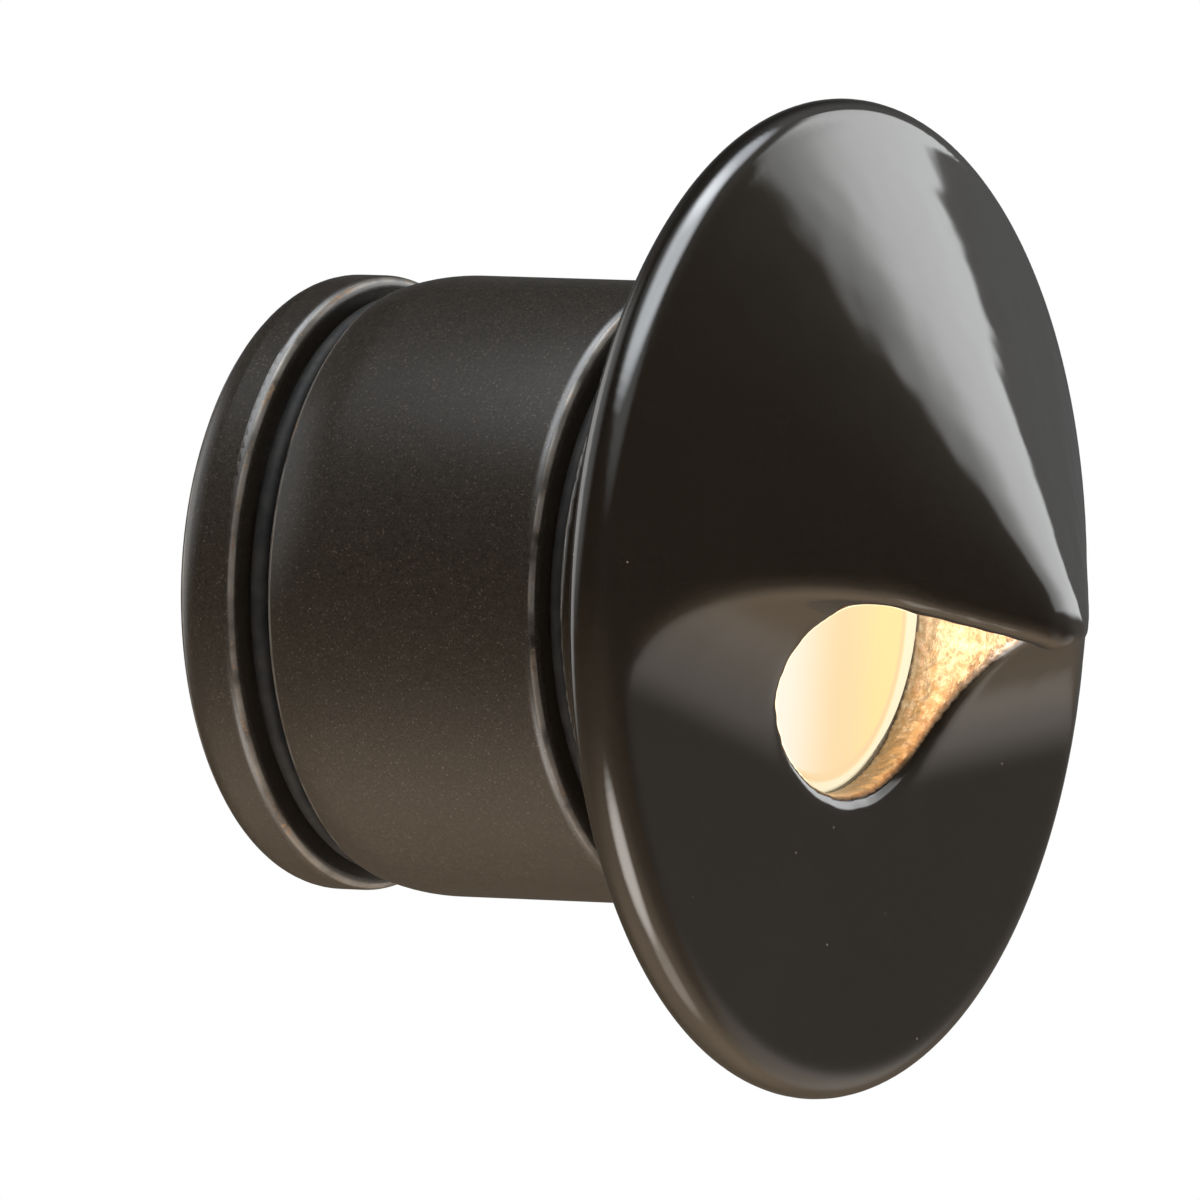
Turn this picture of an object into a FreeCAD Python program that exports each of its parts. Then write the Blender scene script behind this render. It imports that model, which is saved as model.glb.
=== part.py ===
# Hooded recessed wall light in cast brass, all sizes in millimetres.
# The origin is on the lamp axis at the wall plane. The front is -Y, the barrel runs into the wall along +Y,
# and +Z is up. Radii come with a place along Y, so most pieces are turned profiles about the Y axis.
import FreeCAD, Part
import math
import os
from FreeCAD import Vector

# Driving sizes of the outside
face_diameter = 76.2
plate_thickness = 4.6
barrel_diameter = 47.6
barrel_length = 23.9
hub_step = 0.1
hub_length = 8.2
hub_edge_round = 0.5
cap_step = 0.2
cap_length = 5.6
front_groove_width = 2.1
front_groove_depth = 2.9
rear_groove_width = 2.6
rear_groove_depth = 3.2

# Hood on the face
apex_reach = 25.1
apex_drop = 3.4
nose_radius = 11.0
hood_wall = 3.0
brow_drop = 3.5
brow_angle = 9.5
brow_radius = 12.0
brow_edge_radius = 1.2
rim_blend_angle = 31.0
rim_blend_sink = 0.08
light_bore_diameter = 29.7

# Lens and what holds it
lens_setback = 2.4
lens_boss_clearance = 0.15
lens_bevel = 0.9
lens_flange_thickness = 2.2
lens_flange_overlap = 2.5
lens_seat_clearance = 0.2
gasket_thickness = 0.8
retaining_ring_thickness = 1.6
retaining_ring_width = 4.6
spanner_notch_width = 2.6
spanner_notch_depth = 1.8

# Barrel casting
spigot_front_gap = 0.8
spigot_wall = 2.5
barrel_wall = 3.6
rear_spigot_length = 5.0
rear_spigot_wall = 2.4
barrel_edge_round = 0.9
barrel_taper_length = 2.8
barrel_taper_depth = 0.9
relief_margin = 2.4

# Rear cap and the posts cast on it
cap_rear_round = 2.7
cap_front_round = 0.9
post_diameter = 5.2
post_length = 4.2
gland_thread_diameter = 12.0

# Seals
seal_clearance = 0.1
seal_outer_drop = 1.4

# Cable gland
gland_flange_across = 15.0
gland_flange_thickness = 1.5
gland_neck_diameter = 10.4
gland_neck_length = 2.7
gland_nut_across = 13.0
gland_nut_length = 4.3
gland_mouth_wall = 1.2
gland_gap = 0.2
locknut_across = 15.0
locknut_thickness = 2.2
cable_bore_diameter = 6.4
gland_seal_wall = 1.2

# Lamp holder
bracket_thickness = 1.0
bracket_width = 14.0
bracket_wall_gap = 0.7
bracket_window_diameter = 8.0
socket_diameter = 15.0
socket_length = 8.4
socket_edge_round = 0.6
contact_diameter = 2.4
contact_wall = 0.6
contact_length = 6.6
contact_mouth = 0.5
pin_spacing = 4.0
socket_screw_spacing = 10.4

# Lamp
lamp_gap = 0.3
lamp_diameter = 9.2
lamp_glass_length = 15.2
lamp_glass_wall = 0.7
pinch_width = 7.6
pinch_depth = 3.2
pinch_length = 1.6
lamp_pin_diameter = 0.7
lamp_pin_depth = 6.2
filament_diameter = 1.1
filament_length = 3.6
filament_setback = 6.0
filament_lead_diameter = 0.4

# Reflector
reflector_thickness = 0.6
reflector_neck_length = 3.0
reflector_front_gap = 2.5
reflector_lip = 1.2

# Terminal block and wires
block_width = 12.0
block_wall_gap = 0.7
block_depth = 9.6
block_edge_round = 0.5
block_well_diameter = 3.4
block_well_depth = 2.0
block_well_spacing = 6.4
block_rest_gap = 0.9
lead_diameter = 1.2
lead_bend_radius = 1.3

# Screws
small_screw_diameter = 2.0
small_screw_head_diameter = 3.4
small_screw_head_height = 1.2
post_screw_diameter = 2.5
post_screw_head_diameter = 4.4
post_screw_head_height = 1.6
post_screw_length = 4.6
socket_screw_length = 6.5
terminal_screw_length = 2.4
slot_share = 0.2

# Clearances between pieces that fit
running_clearance = 0.05
free_clearance = 0.1
overrun = 1.0

# Places that follow from the sizes above
face_radius = face_diameter / 2
rim_radius = plate_thickness / 2
barrel_radius = barrel_diameter / 2
hub_radius = barrel_radius - hub_step
cap_radius = barrel_radius - cap_step
bore_radius = light_bore_diameter / 2
front_y = -plate_thickness
barrel_front_y = hub_length + front_groove_width
barrel_rear_y = barrel_front_y + barrel_length
cap_front_y = barrel_rear_y + rear_groove_width
cap_rear_y = cap_front_y + cap_length
cap_floor_y = barrel_rear_y + rear_spigot_length
spigot_radius = barrel_radius - front_groove_depth
rear_spigot_radius = barrel_radius - rear_groove_depth
rear_bore_radius = rear_spigot_radius - rear_spigot_wall
lens_front_y = front_y + lens_setback
gasket_back_y = front_y + lens_setback + gasket_thickness + lens_bevel
flange_back_y = gasket_back_y + lens_flange_thickness
ring_back_y = flange_back_y + retaining_ring_thickness
spigot_front_y = ring_back_y + spigot_front_gap
flange_radius = bore_radius + lens_flange_overlap
hub_bore_radius = spigot_radius + running_clearance
locknut_corner = locknut_across / math.sqrt(3)
post_place_x = (locknut_corner + rear_bore_radius) / 2
bracket_radius = rear_bore_radius - bracket_wall_gap
block_foot_z = locknut_across / 2 + block_rest_gap
block_top_z = math.sqrt((rear_bore_radius - block_wall_gap) ** 2 - (block_width / 2) ** 2)
block_height = block_top_z - block_foot_z
bracket_back_y = cap_floor_y - post_length
bracket_front_y = bracket_back_y - bracket_thickness
socket_front_y = bracket_front_y - socket_length
socket_radius = socket_diameter / 2
pinch_front_y = socket_front_y - lamp_gap - pinch_length
lamp_front_y = pinch_front_y + pinch_length / 2 - lamp_glass_length
lamp_radius = lamp_diameter / 2


def solid_of(wire, axis_turn=360.0):
    """Turn a closed wire in the XY half plane about the Y axis."""
    return Part.Face(wire).revolve(Vector(), Vector(0, 1, 0), axis_turn)


def turned(points):
    """A turned solid from (radius, y) corners in order."""
    corners = [Vector(radius, y, 0) for radius, y in points]
    return solid_of(Part.makePolygon(corners + [corners[0]]))


def ring(outer, inner, y_from, y_to):
    """A plain ring between two planes."""
    return turned([(inner, y_from), (outer, y_from), (outer, y_to), (inner, y_to)])


def rod(radius, y_from, y_to, x=0, z=0):
    """A round bar parallel to the lamp axis."""
    return Part.makeCylinder(radius, y_to - y_from, Vector(x, y_from, z), Vector(0, 1, 0))


def block(width, height, y_from, y_to, z=0):
    """A rectangular block centred on x = 0 and on the given z."""
    return Part.makeBox(width, y_to - y_from, height, Vector(-width / 2, y_from, z - height / 2))


def hexagon(across, y_from, y_to):
    """A hexagonal bar with flats up and down."""
    corner = across / math.sqrt(3)
    points = [Vector(corner * math.cos(math.radians(60 * k)), y_from, corner * math.sin(math.radians(60 * k)))
              for k in range(7)]
    return Part.Face(Part.makePolygon(points)).extrude(Vector(0, y_to - y_from, 0))


def circles_at(solid, radius, y):
    """The full circles of one radius at one place along the axis."""
    found = []
    for edge in solid.Edges:
        curve = edge.Curve
        if isinstance(curve, Part.Circle) and abs(curve.Radius - radius) < running_clearance / 2:
            if abs(curve.Center.y - y) < running_clearance / 2:
                found.append(edge)
    return found


def screw(diameter, head_diameter, head_height, length, head_back_y, x=0, z=0):
    """A slotted cheese head screw that points along +Y, its head seated at head_back_y."""
    head = rod(head_diameter / 2, head_back_y - head_height, head_back_y, x, z)
    shank = rod(diameter / 2, head_back_y - head_height / 2, head_back_y + length, x, z)
    slot = head_diameter * slot_share
    cut = Part.makeBox(head_diameter + overrun, slot + overrun, slot,
                       Vector(x - (head_diameter + overrun) / 2, head_back_y - head_height - overrun, z - slot / 2))
    return head.fuse(shank).cut(cut).removeSplitter()


def save(name, shapes):
    """Write one node, a single solid or a group of like solids."""
    shape = shapes if isinstance(shapes, Part.Shape) else Part.makeCompound(shapes)
    print(name, "solids", len(shape.Solids), "volume", round(shape.Volume, 2), "valid", shape.isValid())
    shape.exportStep("parts/" + name + ".step")


# Face cowl: plate with a full round rim, hub, and the hood over the light bore

def plate_and_hub():
    """The round plate, its bullnose rim and the hub behind it."""
    flat = face_radius - rim_radius
    lines = [Part.LineSegment(Vector(0, front_y, 0), Vector(flat, front_y, 0)),
             Part.Arc(Vector(flat, front_y, 0), Vector(face_radius, -rim_radius, 0), Vector(flat, 0, 0)),
             Part.LineSegment(Vector(flat, 0, 0), Vector(hub_radius, 0, 0)),
             Part.LineSegment(Vector(hub_radius, 0, 0), Vector(hub_radius, hub_length, 0)),
             Part.LineSegment(Vector(hub_radius, hub_length, 0), Vector(0, hub_length, 0)),
             Part.LineSegment(Vector(0, hub_length, 0), Vector(0, front_y, 0))]
    body = solid_of(Part.Wire([line.toShape() for line in lines]))
    return body.makeFillet(hub_edge_round, circles_at(body, hub_radius, hub_length))


def cone_base():
    """Radius and place of the circle where the hood leaves the rim."""
    angle = math.radians(rim_blend_angle)
    tube = rim_radius - rim_blend_sink
    return face_radius - rim_radius + tube * math.sin(angle), -rim_radius - tube * math.cos(angle)


def hood_cone(inset, back_y):
    """The hood's cone with its round nose, moved inwards by the inset, leaning down to the nose."""
    base_radius, base_y = cone_base()
    height = apex_reach + base_y
    slope = math.atan2(base_radius, height)
    apex_y = -apex_reach + inset / math.sin(slope)
    tip = nose_radius - inset
    touch_radius = tip * math.cos(slope)
    touch_y = apex_y + touch_radius / math.tan(slope)
    centre_y = apex_y + tip / math.sin(slope)
    half = (math.pi / 2 - slope) / 2
    middle = Vector(tip * math.sin(half), centre_y - tip * math.cos(half), 0)
    flank_y = apex_y + base_radius / math.tan(slope)
    touch = Vector(touch_radius, touch_y, 0)
    nose = Vector(0, centre_y - tip, 0)
    flank = Vector(base_radius, flank_y, 0)
    edges = [Part.Arc(nose, middle, touch), Part.LineSegment(touch, flank),
             Part.LineSegment(flank, Vector(base_radius, back_y, 0)),
             Part.LineSegment(Vector(base_radius, back_y, 0), Vector(0, back_y, 0)),
             Part.LineSegment(Vector(0, back_y, 0), nose)]
    upright = solid_of(Part.Wire([edge.toShape() for edge in edges]))
    lean = FreeCAD.Matrix()
    lean.A32 = apex_drop / height
    lean.A34 = -base_y * apex_drop / height
    return upright.transformGeometry(lean)


def brow_cutter(side):
    """What is taken away under one half of the hood, with the hollow that runs down to the flat face."""
    far_y = -apex_reach - overrun
    low = -face_diameter
    hollow_y = front_y - brow_radius
    bend = brow_radius * math.sin(math.radians(45))
    middle = Vector(0, hollow_y + bend, -brow_radius + bend)
    lines = [Part.LineSegment(Vector(0, far_y, 0), Vector(0, hollow_y, 0)),
             Part.Arc(Vector(0, hollow_y, 0), middle, Vector(0, front_y, -brow_radius)),
             Part.LineSegment(Vector(0, front_y, -brow_radius), Vector(0, overrun, -brow_radius)),
             Part.LineSegment(Vector(0, overrun, -brow_radius), Vector(0, overrun, low)),
             Part.LineSegment(Vector(0, overrun, low), Vector(0, far_y, low)),
             Part.LineSegment(Vector(0, far_y, low), Vector(0, far_y, 0))]
    profile = Part.Face(Part.Wire([line.toShape() for line in lines]))
    prism = profile.extrude(Vector(2 * face_diameter, 0, 0))
    prism.translate(Vector(-face_diameter, 0, 0))
    prism.rotate(Vector(), Vector(0, 1, 0), -side * brow_angle)
    prism.translate(Vector(0, 0, -brow_drop))
    return prism


def brow_edges(hood):
    """The edges where the cone's skin meets what was cut away under it, in front of the plate."""
    found = []
    for edge in hood.Edges:
        kinds = {face.Surface.TypeId for face in hood.ancestorsOfType(edge, Part.Face)}
        if len(kinds) == 2 and "Part::GeomBSplineSurface" in kinds:
            if edge.BoundBox.YMin < front_y - running_clearance:
                found.append(edge)
    return found


def face_cowl():
    hood = hood_cone(0, -rim_radius)
    for side in (1, -1):
        hood = hood.cut(brow_cutter(side))
    hood = hood.makeFillet(brow_edge_radius, brow_edges(hood))
    cowl = plate_and_hub().fuse(hood)
    pocket = rod(bore_radius, -apex_reach, hub_length).common(hood_cone(hood_wall, hub_length + overrun))
    cowl = cowl.cut(pocket)
    seat = gasket_back_y - gasket_thickness
    cowl = cowl.cut(rod(flange_radius + lens_seat_clearance, seat, hub_length + overrun))
    cowl = cowl.cut(rod(hub_bore_radius, flange_back_y, hub_length + overrun))
    return cowl


# Lens, its gasket and the ring that clamps it

def lens():
    boss = bore_radius - lens_boss_clearance
    return turned([(0, lens_front_y), (boss - lens_bevel, lens_front_y), (boss, lens_front_y + lens_bevel),
                   (boss, gasket_back_y), (flange_radius, gasket_back_y), (flange_radius, flange_back_y),
                   (0, flange_back_y)])


def lens_gasket():
    return ring(flange_radius, bore_radius, gasket_back_y - gasket_thickness, gasket_back_y)


def lens_retaining_ring():
    outer = hub_bore_radius - running_clearance
    body = ring(outer, outer - retaining_ring_width, flange_back_y, ring_back_y)
    inner = outer - retaining_ring_width
    for side in (1, -1):
        reach = inner * side if side > 0 else inner * side - spanner_notch_depth
        notch = Part.makeBox(spanner_notch_depth, retaining_ring_thickness + 2 * overrun, spanner_notch_width,
                             Vector(reach - side * overrun / 2, flange_back_y - overrun, -spanner_notch_width / 2))
        body = body.cut(notch)
    return body


# Barrel casting: front spigot, long body with a soft rear taper, threaded rear spigot

def barrel():
    front_inner = spigot_radius - spigot_wall
    middle_inner = barrel_radius - barrel_wall
    taper_y = barrel_rear_y - barrel_taper_length
    body = turned([(front_inner, spigot_front_y), (spigot_radius, spigot_front_y), (spigot_radius, barrel_front_y),
                   (barrel_radius, barrel_front_y), (barrel_radius, taper_y),
                   (barrel_radius - barrel_taper_depth, barrel_rear_y), (rear_spigot_radius, barrel_rear_y),
                   (rear_spigot_radius, cap_floor_y), (rear_bore_radius, cap_floor_y),
                   (rear_bore_radius, barrel_rear_y - relief_margin), (middle_inner, barrel_rear_y - 2 * relief_margin),
                   (middle_inner, barrel_front_y + 2 * relief_margin), (front_inner, barrel_front_y + relief_margin)])
    rounded = circles_at(body, barrel_radius, barrel_front_y)
    rounded += circles_at(body, barrel_radius - barrel_taper_depth, barrel_rear_y)
    return body.makeFillet(barrel_edge_round, rounded)


# Rear cap with its two cast posts

def rear_cap():
    cup = turned([(0, cap_floor_y), (rear_spigot_radius + running_clearance, cap_floor_y),
                  (rear_spigot_radius + running_clearance, cap_front_y), (cap_radius, cap_front_y),
                  (cap_radius, cap_rear_y), (0, cap_rear_y)])
    cup = cup.makeFillet(cap_rear_round, circles_at(cup, cap_radius, cap_rear_y))
    cup = cup.makeFillet(cap_front_round, circles_at(cup, cap_radius, cap_front_y))
    for side in (1, -1):
        post_x = side * post_place_x
        cup = cup.fuse(rod(post_diameter / 2, bracket_back_y, cap_floor_y + overrun, post_x))
        cup = cup.cut(rod(post_screw_diameter / 2 + running_clearance, bracket_back_y - overrun,
                          bracket_back_y + post_screw_length, post_x))
    cup = cup.cut(rod(small_screw_diameter / 2 + running_clearance, cap_floor_y - overrun,
                      cap_floor_y + terminal_screw_length, 0, block_place_z()))
    cup = cup.cut(rod(gland_thread_diameter / 2 + running_clearance, cap_floor_y - overrun, cap_rear_y + overrun))
    return cup.removeSplitter()


# Seal rings in the two outside grooves

def seal_ring(groove_from, groove_width, floor_radius, land_radius):
    """A rubber ring, a little oval where the groove is deeper than it is wide."""
    inner = floor_radius + seal_clearance
    outer = land_radius - seal_outer_drop
    half_width = groove_width / 2 - seal_clearance
    round_radius = min(half_width, (outer - inner) / 2)
    middle_y = groove_from + groove_width / 2
    low = inner + round_radius
    high = outer - round_radius
    near = middle_y - round_radius
    far = middle_y + round_radius
    top = Part.Arc(Vector(high, near, 0), Vector(outer, middle_y, 0), Vector(high, far, 0))
    bottom = Part.Arc(Vector(low, far, 0), Vector(inner, middle_y, 0), Vector(low, near, 0))
    edges = [top.toShape(), bottom.toShape()]
    if high - low > running_clearance:
        edges.insert(1, Part.LineSegment(Vector(high, far, 0), Vector(low, far, 0)).toShape())
        edges.append(Part.LineSegment(Vector(low, near, 0), Vector(high, near, 0)).toShape())
    return solid_of(Part.Wire(edges))


# Cable gland at the middle of the rear cap

def gland_neck_y():
    return cap_rear_y + gland_flange_thickness


def cable_gland_body():
    bore = cable_bore_diameter / 2
    thread = rod(gland_thread_diameter / 2, cap_floor_y - locknut_thickness, cap_rear_y + running_clearance)
    body = thread.fuse(hexagon(gland_flange_across, cap_rear_y, gland_neck_y()))
    body = body.fuse(rod(gland_neck_diameter / 2, cap_rear_y, gland_neck_y() + gland_neck_length))
    body = body.cut(rod(bore, cap_floor_y - locknut_thickness - overrun, gland_neck_y() + gland_neck_length + overrun))
    body = body.cut(rod(bore + gland_seal_wall, cap_rear_y, gland_neck_y() + gland_neck_length + overrun))
    return body.removeSplitter()


def gland_seal():
    bore = cable_bore_diameter / 2
    return ring(bore + gland_seal_wall - running_clearance, bore, cap_rear_y, gland_neck_y() + gland_neck_length)


def gland_nut():
    start = gland_neck_y() + gland_gap
    end = start + gland_nut_length
    nut = hexagon(gland_nut_across, start, end)
    nut = nut.common(turned([(0, start), (gland_nut_across, start), (gland_nut_across / 2, end), (0, end)]))
    nut = nut.cut(rod(gland_neck_diameter / 2 + running_clearance, start - overrun, end - gland_mouth_wall))
    return nut.cut(rod(cable_bore_diameter / 2, start, end + overrun))


def gland_locknut():
    nut = hexagon(locknut_across, cap_floor_y - locknut_thickness, cap_floor_y)
    return nut.cut(rod(gland_thread_diameter / 2 + running_clearance, cap_floor_y - locknut_thickness - overrun,
                       cap_floor_y + overrun))


# Lamp holder: bracket on the posts, ceramic socket with two sprung sleeves

def socket_bracket():
    plate = block(2 * bracket_radius, bracket_width, bracket_front_y, bracket_back_y)
    plate = plate.common(rod(bracket_radius, bracket_front_y, bracket_back_y))
    plate = plate.cut(rod(bracket_window_diameter / 2, bracket_front_y - overrun, bracket_back_y + overrun))
    for side in (1, -1):
        plate = plate.cut(rod(post_screw_diameter / 2 + free_clearance, bracket_front_y - overrun,
                              bracket_back_y + overrun, side * post_place_x))
        plate = plate.cut(rod(small_screw_diameter / 2 + running_clearance, bracket_front_y - overrun,
                              bracket_back_y + overrun, 0, side * socket_screw_spacing / 2))
    return plate


def lamp_socket():
    body = rod(socket_radius, socket_front_y, bracket_front_y)
    body = body.makeFillet(socket_edge_round, circles_at(body, socket_radius, socket_front_y))
    for side in (1, -1):
        x = side * pin_spacing / 2
        z = side * socket_screw_spacing / 2
        sleeve_back = socket_front_y + contact_mouth + contact_length
        body = body.cut(rod(lamp_pin_diameter / 2 + free_clearance, socket_front_y - overrun, sleeve_back, x))
        body = body.cut(rod(contact_diameter / 2 - contact_wall / 2, sleeve_back, bracket_front_y + overrun, x))
        body = body.cut(rod(contact_diameter / 2 + running_clearance, socket_front_y + contact_mouth, sleeve_back, x))
        body = body.cut(rod(small_screw_diameter / 2 + running_clearance, socket_front_y - overrun,
                            bracket_front_y + overrun, 0, z))
        body = body.cut(rod(small_screw_head_diameter / 2 + free_clearance, socket_front_y - overrun,
                            socket_front_y + small_screw_head_height, 0, z))
    return body


def socket_contacts():
    """Sprung sleeves that grip the lamp pins."""
    y_from = socket_front_y + contact_mouth
    sleeves = []
    for side in (1, -1):
        x = side * pin_spacing / 2
        outer = rod(contact_diameter / 2, y_from, y_from + contact_length, x)
        sleeves.append(outer.cut(rod(lamp_pin_diameter / 2 + running_clearance, y_from - overrun,
                                     y_from + contact_length - contact_wall, x)))
    return sleeves


def socket_screws():
    return [screw(small_screw_diameter, small_screw_head_diameter, small_screw_head_height, socket_screw_length,
                  socket_front_y + small_screw_head_height, 0, side * socket_screw_spacing / 2) for side in (1, -1)]


def bracket_screws():
    return [screw(post_screw_diameter, post_screw_head_diameter, post_screw_head_height, post_screw_length,
                  bracket_front_y, side * post_place_x) for side in (1, -1)]


# Lamp: glass capsule, pinch, two pins and the filament on its leads

def lamp_capsule():
    y_back = pinch_front_y + pinch_length / 2
    outer = rod(lamp_radius, lamp_front_y, y_back)
    outer = outer.makeFillet(lamp_radius - lamp_glass_wall, circles_at(outer, lamp_radius, lamp_front_y))
    inner_radius = lamp_radius - lamp_glass_wall
    inner = rod(inner_radius, lamp_front_y + lamp_glass_wall, pinch_front_y - lamp_glass_wall)
    inner = inner.makeFillet(inner_radius - lamp_glass_wall,
                             circles_at(inner, inner_radius, lamp_front_y + lamp_glass_wall))
    foot = block(pinch_width, pinch_depth, pinch_front_y, y_back + overrun)
    return outer.cut(inner).cut(foot)


def lamp_pinch():
    return block(pinch_width, pinch_depth, pinch_front_y, pinch_front_y + pinch_length)


def lamp_pins():
    y_from = pinch_front_y + pinch_length
    y_to = socket_front_y + lamp_pin_depth
    return [rod(lamp_pin_diameter / 2, y_from, y_to, side * pin_spacing / 2) for side in (1, -1)]


def lamp_filament():
    """The lying coil as one rod, with the two leads that rise from the pinch through the glass."""
    y = lamp_front_y + filament_setback
    coil = Part.makeCylinder(filament_diameter / 2, filament_length, Vector(-filament_length / 2, y, 0),
                             Vector(1, 0, 0))
    for side in (1, -1):
        x = side * (filament_length / 2 - filament_lead_diameter)
        coil = coil.fuse(rod(filament_lead_diameter / 2, y, pinch_front_y - lamp_glass_wall, x))
    return coil.removeSplitter()


# Spun reflector: neck on the socket, cone, and a lip that centres it in the barrel

def reflector():
    neck = socket_radius + running_clearance
    skin = reflector_thickness
    front_y_reflector = spigot_front_y + reflector_front_gap
    lip_radius = spigot_radius - spigot_wall - free_clearance
    cone_radius = lip_radius - reflector_lip
    neck_front_y = socket_front_y
    return turned([(neck, neck_front_y + reflector_neck_length), (neck + skin, neck_front_y + reflector_neck_length),
                   (neck + skin, neck_front_y), (cone_radius + skin, front_y_reflector + skin),
                   (lip_radius, front_y_reflector + skin), (lip_radius, front_y_reflector),
                   (cone_radius, front_y_reflector), (neck, neck_front_y)])


# Terminal block on the cap floor, its screws, and the two leads to the socket

def block_place_z():
    return block_foot_z + block_height / 2


def block_front_y():
    return cap_floor_y - block_depth


def terminal_block():
    z = block_place_z()
    body = block(block_width, block_height, block_front_y(), cap_floor_y, z)
    front = [edge for edge in body.Edges
             if all(abs(corner.Point.y - block_front_y()) < running_clearance for corner in edge.Vertexes)]
    body = body.makeFillet(block_edge_round, front)
    for side in (1, -1):
        x = side * block_well_spacing / 2
        body = body.cut(rod(block_well_diameter / 2, block_front_y() - overrun, block_front_y() + block_well_depth, x, z))
        body = body.cut(rod(small_screw_diameter / 2 + running_clearance, block_front_y(),
                            block_front_y() + block_well_depth + terminal_screw_length, x, z))
    body = body.cut(rod(small_screw_diameter / 2 + running_clearance, block_front_y() - overrun,
                        cap_floor_y + overrun, 0, z))
    return body


def terminal_screws():
    z = block_place_z()
    return [screw(small_screw_diameter, block_well_diameter - 2 * free_clearance, small_screw_head_height,
                  terminal_screw_length, block_front_y() + block_well_depth, side * block_well_spacing / 2, z)
            for side in (1, -1)]


def terminal_block_screw():
    return screw(small_screw_diameter, block_well_spacing - block_well_diameter - 2 * free_clearance,
                 small_screw_head_height, block_depth + terminal_screw_length, block_front_y(), 0, block_place_z())


def lead_wires():
    """Two short leads: back out of the socket, one bend, and up into the terminal block."""
    run_y = (bracket_back_y + cap_floor_y - locknut_thickness) / 2
    start_y = socket_front_y + contact_mouth + contact_length
    top_z = block_foot_z
    bend = lead_bend_radius * math.sin(math.radians(45))
    leads = []
    for side in (1, -1):
        x = side * pin_spacing / 2
        corner = Vector(x, run_y - lead_bend_radius, 0)
        turn = Vector(x, corner.y + bend, lead_bend_radius - bend)
        landed = Vector(x, run_y, lead_bend_radius)
        path = Part.Wire([Part.LineSegment(Vector(x, start_y, 0), corner).toShape(),
                          Part.Arc(corner, turn, landed).toShape(),
                          Part.LineSegment(landed, Vector(x, run_y, top_z)).toShape()])
        section = Part.Wire([Part.Circle(Vector(x, start_y, 0), Vector(0, 1, 0), lead_diameter / 2).toShape()])
        leads.append(path.makePipeShell([section], True, False))
    return leads


os.makedirs("parts", exist_ok=True)
save("face_cowl", face_cowl())
save("lens", lens())
save("lens_gasket", lens_gasket())
save("lens_retaining_ring", lens_retaining_ring())
save("barrel", barrel())
save("rear_cap", rear_cap())
save("front_seal_ring", seal_ring(hub_length, front_groove_width, spigot_radius, hub_radius))
save("rear_seal_ring", seal_ring(barrel_rear_y, rear_groove_width, rear_spigot_radius, cap_radius))
save("cable_gland_body", cable_gland_body())
save("gland_seal", gland_seal())
save("gland_nut", gland_nut())
save("gland_locknut", gland_locknut())
save("socket_bracket", socket_bracket())
save("lamp_socket", lamp_socket())
save("socket_contacts", socket_contacts())
save("socket_screws", socket_screws())
save("bracket_screws", bracket_screws())
save("lamp_capsule", lamp_capsule())
save("lamp_pinch", lamp_pinch())
save("lamp_pins", lamp_pins())
save("lamp_filament", lamp_filament())
save("reflector", reflector())
save("terminal_block", terminal_block())
save("terminal_screws", terminal_screws())
save("terminal_block_screw", terminal_block_screw())
save("lead_wires", lead_wires())
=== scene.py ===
# Hooded recessed wall light: the looks of each piece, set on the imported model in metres.
# The plate's back lies on y = 0, the hood and lens face -Y and the barrel runs along +Y.
import bpy
import bmesh
import math
from mathutils import Matrix, Vector, noise


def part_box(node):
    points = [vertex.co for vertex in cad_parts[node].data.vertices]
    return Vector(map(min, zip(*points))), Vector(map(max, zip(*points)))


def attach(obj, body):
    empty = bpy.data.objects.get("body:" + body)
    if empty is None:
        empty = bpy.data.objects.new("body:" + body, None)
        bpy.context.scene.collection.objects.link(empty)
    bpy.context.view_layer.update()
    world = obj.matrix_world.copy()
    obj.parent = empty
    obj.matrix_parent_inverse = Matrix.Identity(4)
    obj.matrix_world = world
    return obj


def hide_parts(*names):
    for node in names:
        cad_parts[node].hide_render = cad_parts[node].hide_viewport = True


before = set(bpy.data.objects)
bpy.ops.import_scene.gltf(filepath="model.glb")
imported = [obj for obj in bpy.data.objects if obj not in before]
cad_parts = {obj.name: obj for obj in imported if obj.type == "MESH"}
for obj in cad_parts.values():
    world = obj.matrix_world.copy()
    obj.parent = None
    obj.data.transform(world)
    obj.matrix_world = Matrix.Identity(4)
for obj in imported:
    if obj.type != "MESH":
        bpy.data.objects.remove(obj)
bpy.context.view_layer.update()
mm = 0.001


# Camera: it stands in front of the light and far to its left, a little below it, with a long lens.
# It was set by the outlines of the face plate, the barrel, the cap and the opening in the photograph.
face_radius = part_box("face_cowl")[1].x
azimuth = math.radians(-60.49)
elevation = math.radians(-2.39)
roll = math.radians(3.42)
distance = 63.0 * face_radius
aim_right = 0.4612 * face_radius
aim_up = 0.0296 * face_radius
rim_middle = Vector((0, -0.0604 * face_radius, 0))

back = Vector((math.sin(azimuth) * math.cos(elevation), -math.cos(azimuth) * math.cos(elevation),
               math.sin(elevation)))
right = Vector((math.cos(azimuth), math.sin(azimuth), 0))
up = back.cross(right)
view = bpy.data.cameras.new("photo_view")
view.lens = 946.2
view.sensor_width = 36
view.clip_start = 0.05
view.clip_end = 50
camera = bpy.data.objects.new("photo_view", view)
camera.matrix_world = Matrix((right * math.cos(roll) + up * math.sin(roll),
                              up * math.cos(roll) - right * math.sin(roll), back)).transposed().to_4x4()
camera.location = back * distance - right * aim_right - up * aim_up + rim_middle
bpy.context.collection.objects.link(camera)
bpy.context.scene.camera = camera
bpy.context.scene.view_settings.view_transform = "Standard"


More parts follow.
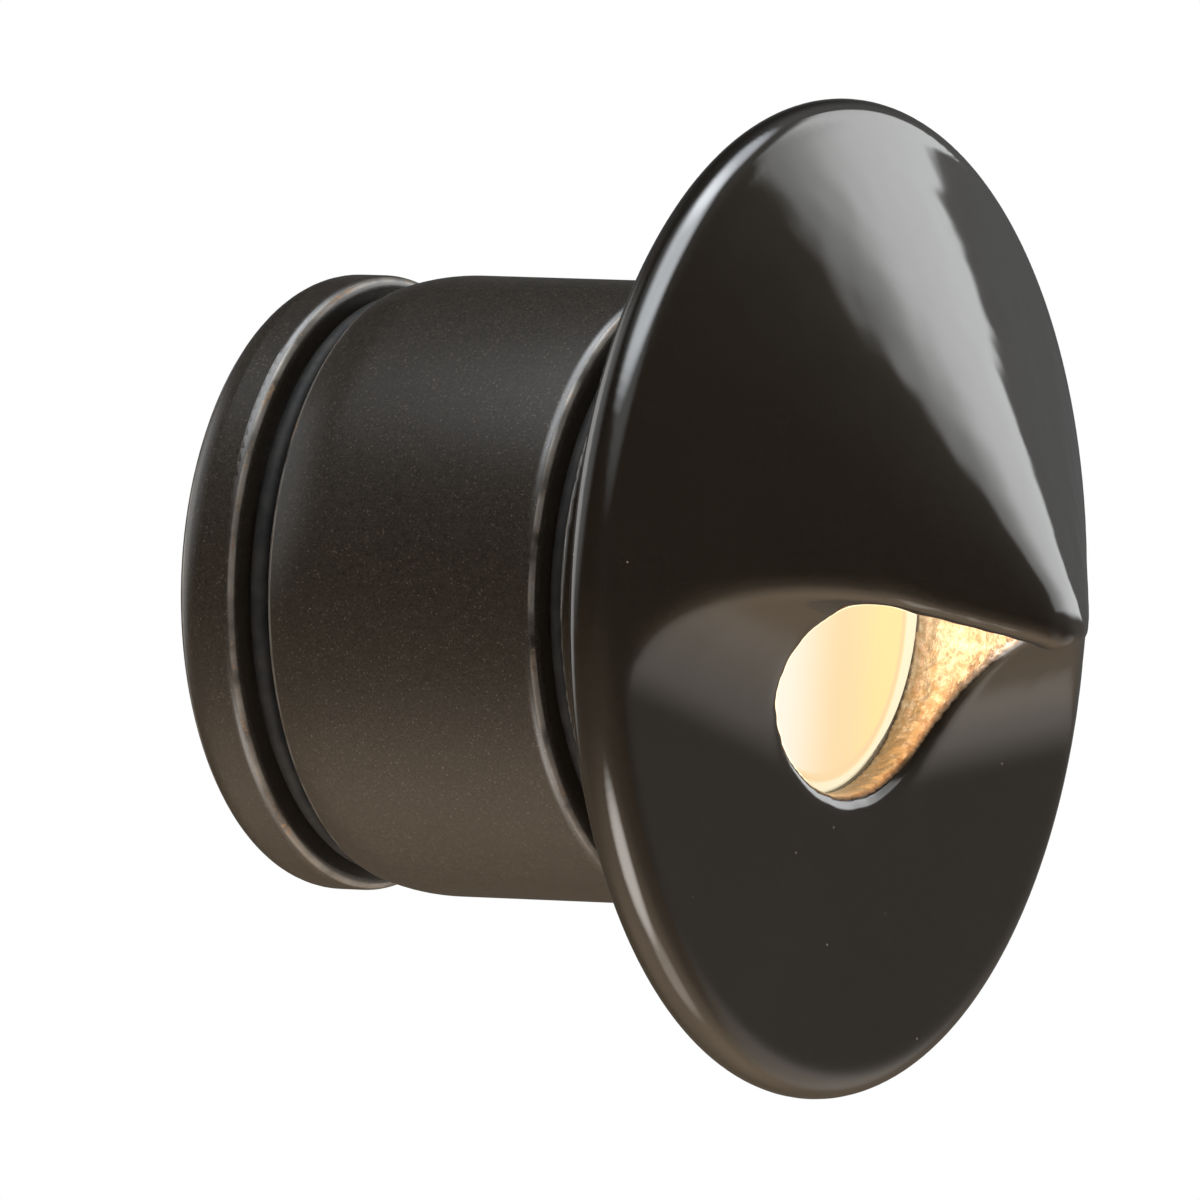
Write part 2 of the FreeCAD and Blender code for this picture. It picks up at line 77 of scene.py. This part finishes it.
# Floor: a plain pale disc well under the light, which hangs as it does on its wall.
floor_drop = 0.3
floor_radius = 1.2
pale_grey = (0.86, 0.86, 0.85, 1)
floor_mesh = bpy.data.meshes.new("floor")
sheet = bmesh.new()
bmesh.ops.create_circle(sheet, cap_ends=True, radius=floor_radius, segments=96,
                        matrix=Matrix.Translation((0, 0, -floor_drop)))
sheet.to_mesh(floor_mesh)
sheet.free()
floor = bpy.data.objects.new("floor", floor_mesh)
bpy.context.collection.objects.link(floor)
floor.visible_glossy = False
floor.visible_shadow = False
floor_paint = bpy.data.materials.new("floor_paint")
floor_paint.use_nodes = True
floor_shader = floor_paint.node_tree.nodes["Principled BSDF"]
floor_shader.inputs["Base Color"].default_value = pale_grey
floor_shader.inputs["Roughness"].default_value = 0.9
floor_mesh.materials.append(floor_paint)


# Surround: the camera sees plain white, while the paint reflects a dim room with a warm light ground.
# The sums of its lobes are written with Value and Tree, which the finishes use too.
class Value:
    """A shader socket that can stand in a Python sum; each sign adds its Math node."""

    def __init__(self, tree, socket):
        self.tree = tree
        self.socket = socket

    def math(self, operation, first, second):
        return self.tree.node("ShaderNodeMath", {"operation": operation}, {0: first, 1: second})

    def __add__(self, other):
        return self.math("ADD", self, other)

    def __radd__(self, other):
        return self.math("ADD", other, self)

    def __sub__(self, other):
        return self.math("SUBTRACT", self, other)

    def __rsub__(self, other):
        return self.math("SUBTRACT", other, self)

    def __mul__(self, other):
        return self.math("MULTIPLY", self, other)

    def __rmul__(self, other):
        return self.math("MULTIPLY", other, self)

    def __pow__(self, other):
        return self.math("POWER", self, other)

    def limit(self, low, high):
        return self.math("MINIMUM", self.math("MAXIMUM", self, low), high)

    def rise(self, start, end):
        """0 before start, 1 after end and a soft step between."""
        return self.tree.node("ShaderNodeMapRange", {"interpolation_type": "SMOOTHSTEP"},
                              {"Value": self, "From Min": start, "From Max": end})


class Tree:
    """A node tree that is filled from its coordinates on; node takes settings first, then values or links."""

    def __init__(self, owner):
        owner.use_nodes = True
        self.nodes = owner.node_tree.nodes
        self.links = owner.node_tree.links
        self.nodes.clear()

    def node(self, kind, settings=None, inputs=None, output=0):
        made = self.nodes.new(kind)
        for name, setting in (settings or {}).items():
            setattr(made, name, setting)
        for name, value in (inputs or {}).items():
            if isinstance(value, Value):
                self.links.new(value.socket, made.inputs[name])
            else:
                made.inputs[name].default_value = value
        return Value(self, made.outputs[output]) if len(made.outputs) else None

    def mix(self, factor, first, second):
        """Colour first where factor is 0 and second where it is 1."""
        return self.node("ShaderNodeMix", {"data_type": "RGBA"}, {0: factor, 6: first, 7: second}, 2)

    def place(self):
        """Object coordinates in metres."""
        return self.node("ShaderNodeTexCoord", output="Object")

    def along(self, name):
        """One Object coordinate in millimetres."""
        return self.node("ShaderNodeSeparateXYZ", inputs={0: self.place()}, output=name) * 1000

    def radius(self):
        """Distance from the lamp axis in millimetres."""
        return (self.along("X") ** 2 + self.along("Z") ** 2) ** 0.5

    def grain(self, per_mm, detail=2, roughness=0.5):
        """Soft noise with so many cells to the millimetre."""
        return self.node("ShaderNodeTexNoise", inputs={"Vector": self.place(), "Scale": per_mm * 1000,
                                                       "Detail": detail, "Roughness": roughness})


surround = bpy.data.worlds.new("surround")
room = Tree(surround)
towards = room.node("ShaderNodeTexCoord", output="Generated")
sideways, onward, height = [room.node("ShaderNodeSeparateXYZ", inputs={0: towards}, output=name)
                            for name in "XYZ"]
bearing = room.node("ShaderNodeMath", {"operation": "ARCTAN2"}, {0: sideways, 1: 0 - onward}) * math.degrees(1)


def facing(direction, start, end):
    """0 up to the start angle from a direction and 1 within the end angle, in degrees."""
    along = room.node("ShaderNodeVectorMath", {"operation": "DOT_PRODUCT"},
                      {0: towards, 1: Vector(direction).normalized()}, 1)
    return along.rise(math.cos(math.radians(start)), math.cos(math.radians(end)))


key_left = 0.42 * bearing.rise(41, 47) + 0.58 * bearing.rise(46, 66)
key_right = 1 - (bearing + 12 * height).rise(86.5, 88.8)
key_foot = (height + 0.004 * bearing).rise(0.45, 0.51)
key_head = 1 - height.rise(0.66, 0.78)
key_fade = 1 - 0.4 * bearing.rise(58, 88)
ground = (0 - height).rise(-0.05, 0.55)
ground_below = (0 - height).rise(0.45, 0.95)
ceiling = height.rise(0.4, 0.95)

dim_room = (0.15, 0.115, 0.076)
glow = dim_room
for share, colour in ((key_left * key_right * key_foot * key_head * key_fade, (3.95, 4.05, 4.05)),
                      (ground, (0.36, 0.275, 0.195)),
                      (ground_below, (1.05, 0.79, 0.56)),
                      (ceiling, (0.25, 0.27, 0.28)),
                      (facing((0.86, -0.42, -0.05), 44, 8), (0.06, 0.07, 0.085)),
                      (facing((-0.30, 0.88, 0.36), 30, 12), (0.9, 0.95, 1.0)),
                      (facing((0.15, 0.97, 0.15), 24, 8), (1.9, 1.9, 1.9)),
                      (facing((-0.60, -0.42, 0.64), 32, 9), (0.95, 1.0, 1.05)),
                      (facing((-0.85, 0.5, 0.1), 60, 20), (-0.045, -0.044, -0.04)),
                      (facing((0.22, -0.02, 0.97), 22, 8), (5.0, 5.3, 5.7)),
                      (facing((0.82, -0.40, -0.40), 26, 6), (0.48, 0.46, 0.43)),
                      (facing((-0.425, -0.198, -0.883), 25, 6), (8.0, 7.6, 7.2)),
                      (facing((0.071, -0.195, -0.978), 19, 5), (2.2, 2.0, 1.8)),
                      (facing((0.75, 0.45, 0.45), 50, 15), (0.06, 0.10, 0.14)),
                      (facing((-0.308, -0.027, 0.951), 39, 19), (8.6, 9.0, 9.4))):
    lobe = room.node("ShaderNodeVectorMath", {"operation": "SCALE"}, {0: colour, "Scale": share})
    glow = room.node("ShaderNodeVectorMath", {"operation": "ADD"}, {0: glow, 1: lobe})
dark_side = 1 - 0.5 * onward.rise(-0.2, 0.45) * sideways.rise(-0.1, 0.6)
dark_band = 1 - 0.9 * (onward.rise(0.05, 0.42) - onward.rise(0.6, 0.85)) * height.rise(0.2, 0.6)
glow = room.node("ShaderNodeVectorMath", {"operation": "SCALE"}, {0: glow, "Scale": dark_side * dark_band})
white = (1, 1, 1, 1)
seen = room.node("ShaderNodeBackground", inputs={"Color": white})
reflected = room.node("ShaderNodeBackground", inputs={"Color": glow})
direct = room.node("ShaderNodeLightPath", output="Is Camera Ray")
chosen = room.node("ShaderNodeMixShader", inputs={0: direct, 1: reflected, 2: seen})
room.node("ShaderNodeOutputWorld", inputs={"Surface": chosen})
bpy.context.scene.world = surround


# Face cowl: round plate, rim, hub and hood in one brass casting, painted dark bronze outside. Its lips are
# filed round and the hood is polished by hand, which leaves slight waves. The bore is left as cast, with painted
# shade darkening its lower part.
paint_dark = (0.0022, 0.0016, 0.0010, 1)
paint_light = (0.0036, 0.0027, 0.0018, 1)
flake_bronze = (0.075, 0.059, 0.044, 1)
dust_grey = (0.30, 0.26, 0.20, 1)
# Pale edge colour: partly paint rubbed thin, partly a painted edge highlight.
rubbed_paint_and_edge_highlight = (0.17, 0.152, 0.132, 1)
worn_copper = (0.19, 0.125, 0.08, 1)
# Bore brass: the darker tone is partly stain and partly painted shade low in the bore.
brass_stained_shaded = (0.42, 0.27, 0.15, 1)
brass_clean_lit = (0.76, 0.62, 0.52, 1)
flakes_per_metre = 8500
specks_per_metre = 260
facets_per_metre = 950


def bronze_paint(name, sparkle, coat, gloss, worn_and_highlit_rings=(), bare=False):
    """Bronze paint with fine flake under a clear coat of that weight, as rough as gloss says. The worn rings are
    (radius, place, width) in millimetres of edges rubbed to copper, each with a pale band that is partly rubbed
    paint and partly painted edge highlight; bare shows brass where the mesh says."""
    finish = bpy.data.materials.new(name)
    tree = Tree(finish)
    cloud = tree.grain(0.12, 3)
    flake = tree.node("ShaderNodeTexVoronoi", inputs={"Vector": tree.place(), "Scale": flakes_per_metre},
                      output="Color")
    flake = tree.node("ShaderNodeSeparateXYZ", inputs={0: flake}, output="X")
    flake = (0.1 + 0.5 * flake + 1.1 * flake.rise(0.95, 1.0)) * sparkle
    paint = tree.mix(cloud, paint_dark, paint_light)
    paint = tree.mix(flake, paint, flake_bronze)
    specks = {"Vector": tree.place(), "Scale": specks_per_metre}
    near_speck = tree.node("ShaderNodeTexVoronoi", inputs=specks)
    kept_speck = tree.node("ShaderNodeTexVoronoi", inputs=specks, output="Color")
    kept_speck = tree.node("ShaderNodeSeparateXYZ", inputs={0: kept_speck}, output="Y").rise(0.72, 0.74)
    dust = (1 - near_speck.rise(0.012, 0.03)) * kept_speck
    paint = tree.mix(dust * 0.6, paint, dust_grey)
    relief = tree.grain(0.14, 1) * 2.6 + tree.grain(1.1, 1) * 0.9 + tree.grain(7, 1) * 0.12
    rough = 0.42 + 0.1 * tree.grain(0.5, 2)
    metal = flake * 0.6
    if worn_and_highlit_rings:
        rub = 0
        for ring_radius, ring_place, width in worn_and_highlit_rings:
            off = ((tree.radius() - ring_radius) ** 2 + (tree.along("Y") - ring_place) ** 2) ** 0.5
            rub = rub + (1 - off.rise(0.2 * width, width))
        # A pale band along the worn edges: partly rubbed paint, partly painted edge highlight.
        burnish_and_edge_highlight = rub.rise(0.55, 1.0) * tree.grain(0.3, 2).rise(0.25, 0.65)
        paint = tree.mix(burnish_and_edge_highlight * 0.75, paint, rubbed_paint_and_edge_highlight)
        rough = rough - burnish_and_edge_highlight * 0.15
        metal = metal + burnish_and_edge_highlight * 0.45
        patch = (rub * 0.62 + tree.grain(0.35, 3) * 0.95 + tree.grain(3, 2) * 0.6).rise(1.42, 1.62)
        paint = tree.mix(patch, paint, worn_copper)
        coat = coat - patch * 0.6
        metal = metal + patch * 0.5
    if bare:
        cast = tree.node("ShaderNodeAttribute", {"attribute_name": "bare"}, output="Fac")
        # Random stains plus a painted shade that darkens the brass towards the bottom of the bore.
        stain_and_low_shade = ((tree.grain(1.6, 4, 0.6) - 0.5) * 2.4 + 0.70 + tree.along("Z") * 0.06).limit(0, 1)
        brass = tree.mix(stain_and_low_shade, brass_stained_shaded, brass_clean_lit)
        paint = tree.mix(cast, paint, brass)
        coat = coat * (1 - cast)
        rough = rough * (1 - cast) + cast * (0.34 - 0.2 * stain_and_low_shade)
        metal = metal * (1 - cast) + cast * 0.9
        facets = tree.node("ShaderNodeTexVoronoi", {"feature": "SMOOTH_F1"},
                           {"Vector": tree.place(), "Scale": facets_per_metre, "Smoothness": 0.2})
        relief = relief * (1 - cast) + cast * (facets * 34 + tree.grain(2.5, 4, 0.65) * 24)
    dents = tree.node("ShaderNodeBump", inputs={"Strength": 0.35, "Distance": 0.02 * mm, "Height": relief})
    skin = tree.node("ShaderNodeBsdfPrincipled",
                     inputs={"Base Color": paint, "Metallic": metal, "Roughness": rough, "Coat Weight": coat,
                             "Coat Roughness": gloss, "Specular IOR Level": 0.025, "Normal": dents})
    tree.node("ShaderNodeOutputMaterial", inputs={"Surface": skin})
    return finish


bore_radius = 14.85 * mm
plate_front = -4.6 * mm
lens_front = -2.2 * mm
cell = 0.41 * mm
lip_passes = 19
mouth_passes = 22
front_passes = 3
rim_round = 2.3 * mm
rim_centre = face_radius - rim_round
rim_from = 0.56


def part_of(value):
    """A share between 0 and 1."""
    return min(max(value, 0), 1)


def soften(body, verts):
    bmesh.ops.smooth_vert(body, verts=verts, factor=0.5, use_axis_x=True, use_axis_y=True, use_axis_z=True)


solid_mesh = bpy.data.meshes.new("cowl_solid")
casting = bmesh.new()
casting.from_mesh(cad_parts["face_cowl"].data)
bmesh.ops.remove_doubles(casting, verts=casting.verts, dist=0.002 * mm)
casting.to_mesh(solid_mesh)
casting.free()
blank = bpy.data.objects.new("cowl_blank", solid_mesh)
bpy.context.collection.objects.link(blank)
grid = blank.modifiers.new("grid", "REMESH")
grid.mode = "VOXEL"
grid.voxel_size = cell
snug = blank.modifiers.new("snug", "SHRINKWRAP")
snug.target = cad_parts["face_cowl"]
snug.wrap_method = "NEAREST_SURFACEPOINT"
bpy.context.view_layer.update()
cowl_mesh = bpy.data.meshes.new_from_object(blank.evaluated_get(bpy.context.evaluated_depsgraph_get()))
bpy.data.objects.remove(blank)

casting = bmesh.new()
casting.from_mesh(cowl_mesh)
lip_verts = [v for v in casting.verts if v.co.y < plate_front - 0.3 * mm]
for _ in range(lip_passes):
    soften(casting, lip_verts)
near_mouth = [(abs(math.hypot(v.co.x, v.co.z) - bore_radius), v) for v in casting.verts
              if v.co.y < lens_front - 1.0 * mm]
for turn in range(mouth_passes):
    soften(casting, [v for off, v in near_mouth if off < (3.0 - 0.1 * turn) * mm])
front_verts = [v for v in casting.verts if v.co.y < -0.4 * mm]
for _ in range(front_passes):
    soften(casting, front_verts)
casting.normal_update()
for vert in front_verts:
    on_hood = part_of((plate_front - vert.co.y) / (2.0 * mm))
    if on_hood > 0 and vert.normal.y < 0.3:
        spot = vert.co / mm
        wave = 0.05 * noise.noise(spot * 0.17) + 0.014 * noise.noise(spot * 0.42)
        vert.co += vert.normal * on_hood * wave * mm
for vert in casting.verts:
    from_axis = math.hypot(vert.co.x, vert.co.z)
    off_centre = math.hypot(from_axis - rim_centre, vert.co.y + rim_round)
    outward = (from_axis - rim_centre) / off_centre
    if outward > rim_from:
        near = part_of((0.3 * mm - abs(off_centre - rim_round)) / (0.2 * mm))
        pull = 1 + near * min((outward - rim_from) / 0.25, 1) * (rim_round / off_centre - 1)
        onto_rim = rim_centre + (from_axis - rim_centre) * pull
        vert.co = (vert.co.x * onto_rim / from_axis, -rim_round + (vert.co.y + rim_round) * pull,
                   vert.co.z * onto_rim / from_axis)
casting.normal_update()
bare_share = []
for vert in casting.verts:
    spot = vert.co / mm
    from_axis = math.hypot(vert.co.x, vert.co.z)
    inward = -(vert.normal.x * vert.co.x + vert.normal.z * vert.co.z) / max(from_axis, 0.1 * mm)
    ragged = 0.07 * noise.noise(spot * 0.8) + 0.05 * noise.noise(spot * 2.5)
    on_wall = from_axis < bore_radius + 0.6 * mm and vert.co.y < 0 and from_axis > bore_radius - 1.5 * mm
    roof = vert.normal.y > 0.5 and vert.co.y < plate_front and from_axis < bore_radius
    if roof:
        share = 1
    elif on_wall:
        share = part_of((inward - 0.72 + ragged) / 0.2)
    else:
        share = 0
    bare_share.append(share)
    if share > 0 and vert.co.y < lens_front - 0.2 * mm:
        hammer = abs(noise.noise(spot * 0.55)) * 0.5 + abs(noise.noise(spot * 1.3)) * 0.3
        inside_lip = part_of((bore_radius + 0.25 * mm - from_axis) / (0.2 * mm))
        vert.co += vert.normal * (inside_lip * share ** 3 * (0.12 - hammer) * 0.45 * mm)
casting.to_mesh(cowl_mesh)
casting.free()
bare_layer = cowl_mesh.attributes.new("bare", "FLOAT", "POINT")
bare_layer.data.foreach_set("value", bare_share)
cowl_mesh.shade_smooth()
cowl_mesh.materials.clear()
# The hub's rear edge is worn, with a pale band there that is partly painted edge highlight.
hub_edge = (23.7, 8.2, 0.7)
cowl_mesh.materials.append(bronze_paint("bronze_cowl", 0.06, 1.0, 0.07, (hub_edge,), bare=True))
face_casting = bpy.data.objects.new("face_casting", cowl_mesh)
bpy.context.collection.objects.link(face_casting)
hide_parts("face_cowl")
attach(face_casting, "face")


# Barrel: turned brass body with a front spigot, a rear spigot and a soft taper to the rear groove.
# It has the same paint as the face, rubbed through along its rear and front edges, with a pale band there that
# is partly painted edge highlight.
def turned(name, outline, finish, steps=192, arc_steps=8):
    """A body turned about the lamp axis from (radius, place, rounding) corners in millimetres."""
    points = []
    for index, (radius, place, rounding) in enumerate(outline):
        here = Vector((radius, place))
        before = Vector(outline[index - 1][:2]) - here
        after = Vector(outline[(index + 1) % len(outline)][:2]) - here
        if rounding == 0:
            points.append(here)
            continue
        half = before.angle(after) / 2
        reach = rounding / math.tan(half)
        start = here + before.normalized() * reach
        end = here + after.normalized() * reach
        centre = here + (before.normalized() + after.normalized()).normalized() * (rounding / math.sin(half))
        for step in range(arc_steps + 1):
            points.append(centre + rounding * (start - centre).slerp(end - centre, step / arc_steps))
    body = bmesh.new()
    corners = [body.verts.new((point.x * mm, point.y * mm, 0)) for point in points]
    sides = [body.edges.new(ends) for ends in zip(corners, corners[1:] + corners[:1])]
    bmesh.ops.spin(body, geom=corners + sides, axis=(0, 1, 0), cent=(0, 0, 0), angle=math.tau, steps=steps,
                   use_merge=True)
    bmesh.ops.remove_doubles(body, verts=body.verts, dist=0.001 * mm)
    bmesh.ops.recalc_face_normals(body, faces=body.faces)
    mesh = bpy.data.meshes.new(name)
    body.to_mesh(mesh)
    body.free()
    mesh.shade_smooth()
    mesh.set_sharp_from_angle(angle=math.radians(34))
    mesh.materials.append(finish)
    piece = bpy.data.objects.new(name, mesh)
    bpy.context.collection.objects.link(piece)
    return piece


front_edge = (23.48, 10.62, 0.55)
rear_edge = (22.92, 33.90, 0.5)
barrel_shell = turned("barrel_shell", ((18.4, 4.1, 0), (20.9, 4.1, 0.3), (20.9, 10.3, 0.3), (23.8, 10.3, 1.1),
                                       (23.8, 31.3, 15), (22.9, 34.2, 0.8), (20.6, 34.2, 0.3), (20.6, 39.2, 0.3),
                                       (18.2, 39.2, 0), (18.2, 31.8, 0), (20.2, 29.4, 1.5), (20.2, 15.1, 1.5),
                                       (18.4, 12.7, 0)),
                      bronze_paint("bronze_barrel", 0.32, 0.75, 0.28, (front_edge, rear_edge)))
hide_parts("barrel")
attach(barrel_shell, "housing")


# Rear cap: a cup that screws over the rear spigot, with the cable gland at its middle.
# Same paint, with the edges towards the groove and at the back worn to copper, and a pale band there that is
# partly painted edge highlight.
def dress(names, finish):
    """Give CAD nodes their finish."""
    for name in names:
        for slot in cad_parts[name].material_slots:
            slot.material = finish


groove_edge = (23.4, 36.9, 0.7)
back_edge = (23.0, 41.6, 0.5)
dress(["rear_cap"], bronze_paint("bronze_cap", 0.32, 0.75, 0.28, (groove_edge, back_edge)))


# Lens: frosted glass disc with a bevelled edge. Its emission colour paints the lamp's warm light through it,
# palest towards the near side, with a painted darker line and a painted bright ring at the bevel. It lies in the
# cowl on a silicone gasket.
frosted = bpy.data.materials.new("frosted_glass")
tree = Tree(frosted)
across = tree.along("X")
seen_middle_x = -1.0
seen_middle_z = -0.9
off_bevel = ((across - seen_middle_x) ** 2 + (tree.along("Z") - seen_middle_z) ** 2) ** 0.5
near_cream = (1.0, 0.92, 0.77, 1)
middle_amber = (0.98, 0.71, 0.39, 1)
far_yellow = (1.0, 0.80, 0.36, 1)
bevel_shade_amber = (0.95, 0.70, 0.38, 1)
bevel_highlight_cream = (1.0, 0.91, 0.64, 1)
# Painted glow: emission colours for the lamp's light through the glass and for the shade and highlight of its
# bevel.
painted_glow = tree.mix(across.rise(-7.5, 3.0), near_cream, middle_amber)
painted_glow = tree.mix(across.rise(2.5, 9.5), painted_glow, far_yellow)
painted_glow = tree.mix(off_bevel.rise(12.3, 12.7) - off_bevel.rise(12.9, 13.2), painted_glow, bevel_shade_amber)
painted_glow = tree.mix(off_bevel.rise(12.9, 13.4), painted_glow, bevel_highlight_cream)
glass = tree.node("ShaderNodeBsdfPrincipled",
                  inputs={"Base Color": (0.05, 0.05, 0.04, 1), "Roughness": 0.45, "Emission Color": painted_glow,
                          "Emission Strength": 0.95})
tree.node("ShaderNodeOutputMaterial", inputs={"Surface": glass})
dress(["lens"], frosted)

lens_glow = bpy.data.lights.new("lens_glow", "AREA")
lens_glow.shape = "DISK"
lens_glow.size = 26 * mm
lens_glow.energy = 0.0042
lens_glow.color = (1, 0.83, 0.57)
glow_lamp = bpy.data.objects.new("lens_glow", lens_glow)
glow_lamp.location = (0, lens_front - 0.2 * mm, 0)
glow_lamp.rotation_euler = (math.radians(-90), 0, 0)
glow_lamp.visible_camera = False
bpy.context.collection.objects.link(glow_lamp)
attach(glow_lamp, "face")


# Lens gasket: a flat ring cut from translucent white silicone, pressed between the lens and its seat.
# Dust and a slight yellowing lie on it in clouds.
def finish_of(name, first, second, cloud_size, rough, metal=0.0, relief=0.0, relief_size=0.1, lathe=False,
              **constants):
    """A two-tone finish: clouds of a size in millimetres, a roughness range and a fine relief in micrometres.
    With lathe the relief lies in rings about the lamp axis, as turning and spinning leave it."""
    finish = bpy.data.materials.new(name)
    tree = Tree(finish)
    cloud = tree.grain(1 / cloud_size, 3)
    colour = tree.mix(cloud.rise(0.3, 0.7), (*first, 1), (*second, 1))
    rub = tree.grain(2.5 / cloud_size, 2)
    if lathe:
        rings = tree.node("ShaderNodeCombineXYZ", inputs={0: tree.radius(), 1: tree.along("Y")})
        depth = tree.node("ShaderNodeTexNoise", inputs={"Vector": rings, "Scale": 1 / relief_size, "Detail": 1})
    else:
        depth = tree.grain(1 / relief_size, 2)
    marks = tree.node("ShaderNodeBump", inputs={"Strength": 1.0, "Distance": relief * 1e-6, "Height": depth})
    skin = tree.node("ShaderNodeBsdfPrincipled",
                     inputs={"Base Color": colour, "Roughness": rough[0] + (rough[1] - rough[0]) * rub,
                             "Metallic": metal, "Normal": marks, **constants})
    tree.node("ShaderNodeOutputMaterial", inputs={"Surface": skin})
    return finish


dress(["lens_gasket"], finish_of("silicone", (0.70, 0.68, 0.62), (0.80, 0.79, 0.76), 3, (0.38, 0.55), relief=6,
                                 relief_size=0.3, **{"Coat Weight": 0.2, "Coat Roughness": 0.3}))


# Lens retaining ring: turned from brass bar, threaded outside, with two notches for a pin spanner.
# It screws into the hub behind the lens flange.
raw_brass = finish_of("raw_brass", (0.56, 0.38, 0.15), (0.72, 0.53, 0.25), 2.2, (0.2, 0.42), 1.0, 5, 0.08, True)
dress(["lens_retaining_ring"], raw_brass)


# Seal rings: moulded from dull black rubber, in the two outer grooves.
# They close the cowl and the cap on the barrel.
black_rubber = finish_of("black_rubber", (0.006, 0.006, 0.006), (0.012, 0.011, 0.010), 1.6, (0.5, 0.7),
                         relief=1.2, relief_size=0.3, **{"Specular IOR Level": 0.1})
dress(["front_seal_ring", "rear_seal_ring"], black_rubber)


# Cable gland: turned brass body and hexagon nut outside the cap, a locknut inside it, and a rubber seal
# that the nut presses round the cable.
gland_brass = finish_of("gland_brass", (0.50, 0.33, 0.13), (0.68, 0.50, 0.23), 3, (0.24, 0.46), 1.0, 6, 0.1,
                        True)
dress(["cable_gland_body", "gland_nut", "gland_locknut"], gland_brass)
dress(["gland_seal"], black_rubber)


# Lamp bracket and screws: a strip of zinc plated sheet on the two posts of the cap, held by two screws.
# Two smaller screws hold the socket to it, and two more with one long one belong to the terminal block.
plated_steel = finish_of("plated_steel", (0.50, 0.52, 0.54), (0.66, 0.67, 0.66), 0.9, (0.22, 0.44), 1.0, 3, 0.15)
dress(["socket_bracket", "bracket_screws", "socket_screws", "terminal_screws", "terminal_block_screw"],
      plated_steel)


# Lamp socket: a pressed and fired steatite body, matt and off white, with sprung brass sleeves in it
# that grip the two pins of the lamp.
dress(["lamp_socket"], finish_of("ceramic", (0.74, 0.71, 0.64), (0.84, 0.82, 0.77), 0.7, (0.5, 0.75), relief=9,
                                 relief_size=0.12))
dress(["socket_contacts"], finish_of("contact_brass", (0.60, 0.43, 0.20), (0.74, 0.58, 0.32), 0.8, (0.22, 0.36),
                                     1.0, 2, 0.1))


# Lamp: a clear glass capsule pressed flat round its two pins. The coiled filament of thin tungsten
# wire lies across it on two leads, and glows.
def tube(name, points, radius, sides, finish):
    """A round wire through points, all in millimetres."""
    path = bpy.data.curves.new(name, "CURVE")
    path.dimensions = "3D"
    path.bevel_depth = radius * mm
    path.bevel_resolution = sides
    path.use_fill_caps = True
    line = path.splines.new("POLY")
    line.points.add(len(points) - 1)
    for spot, point in zip(line.points, points):
        spot.co = (*(Vector(point) * mm), 1)
    maker = bpy.data.objects.new(name, path)
    bpy.context.collection.objects.link(maker)
    bpy.context.view_layer.update()
    mesh = bpy.data.meshes.new_from_object(maker.evaluated_get(bpy.context.evaluated_depsgraph_get()))
    bpy.data.objects.remove(maker)
    mesh.shade_smooth()
    mesh.materials.clear()
    mesh.materials.append(finish)
    piece = bpy.data.objects.new(name, mesh)
    bpy.context.collection.objects.link(piece)
    return piece


clear_glass = finish_of("clear_glass", (0.95, 0.96, 0.96), (0.99, 0.99, 0.98), 4, (0.02, 0.05), relief=1,
                        relief_size=1.5, **{"Transmission Weight": 1.0, "IOR": 1.47})
dress(["lamp_capsule", "lamp_pinch"], clear_glass)
dress(["lamp_pins"], finish_of("pin_wire", (0.46, 0.46, 0.48), (0.60, 0.60, 0.61), 0.5, (0.24, 0.4), 1.0, 1,
                               0.05))

coil_low, coil_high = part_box("lamp_filament")
coil_radius = 0.44
coil_half = 1.7
coil_y = coil_low.y / mm + 0.55
lead_x = coil_half - 0.05
lead_start = coil_y + 0.5
lead_end = coil_high.y / mm
coil_turns = 14
coil_steps = coil_turns * 12
wire_radius = 0.07
wire = [(-lead_x, lead_end, 0), (-lead_x, lead_start, 0)]
for step in range(coil_steps + 1):
    along_coil = step / coil_steps
    angle = math.tau * coil_turns * along_coil
    wire.append((coil_half * (2 * along_coil - 1), coil_y + coil_radius * math.cos(angle),
                 coil_radius * math.sin(angle)))
wire += [(lead_x, lead_start, 0), (lead_x, lead_end, 0)]
tungsten = finish_of("tungsten", (0.35, 0.34, 0.33), (0.50, 0.48, 0.46), 0.3, (0.3, 0.5), 1.0, 1, 0.05,
                     **{"Emission Color": (1.0, 0.62, 0.25, 1), "Emission Strength": 6.0})
filament_coil = tube("filament_coil", wire, wire_radius, 1, tungsten)
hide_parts("lamp_filament")
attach(filament_coil, "lamp")


# Reflector: spun from thin aluminium on the socket's neck, with spinning rings and a bright front.
# Its lip centres it in the barrel's spigot.
dress(["reflector"], finish_of("spun_aluminium", (0.80, 0.80, 0.82), (0.88, 0.88, 0.89), 5, (0.14, 0.3), 1.0, 4,
                               0.12, True))


# Terminal block: moulded natural nylon, with two wells over the wire screws, on the floor of the cap.
# Two leads in glass fibre sleeve run to it from the socket.
dress(["terminal_block"], finish_of("block_plastic", (0.76, 0.74, 0.68), (0.82, 0.81, 0.77), 2.5, (0.4, 0.58),
                                    relief=5, relief_size=0.25))
dress(["lead_wires"], finish_of("lead_sleeve", (0.62, 0.59, 0.50), (0.80, 0.78, 0.72), 0.25, (0.6, 0.85),
                                relief=30, relief_size=0.16))
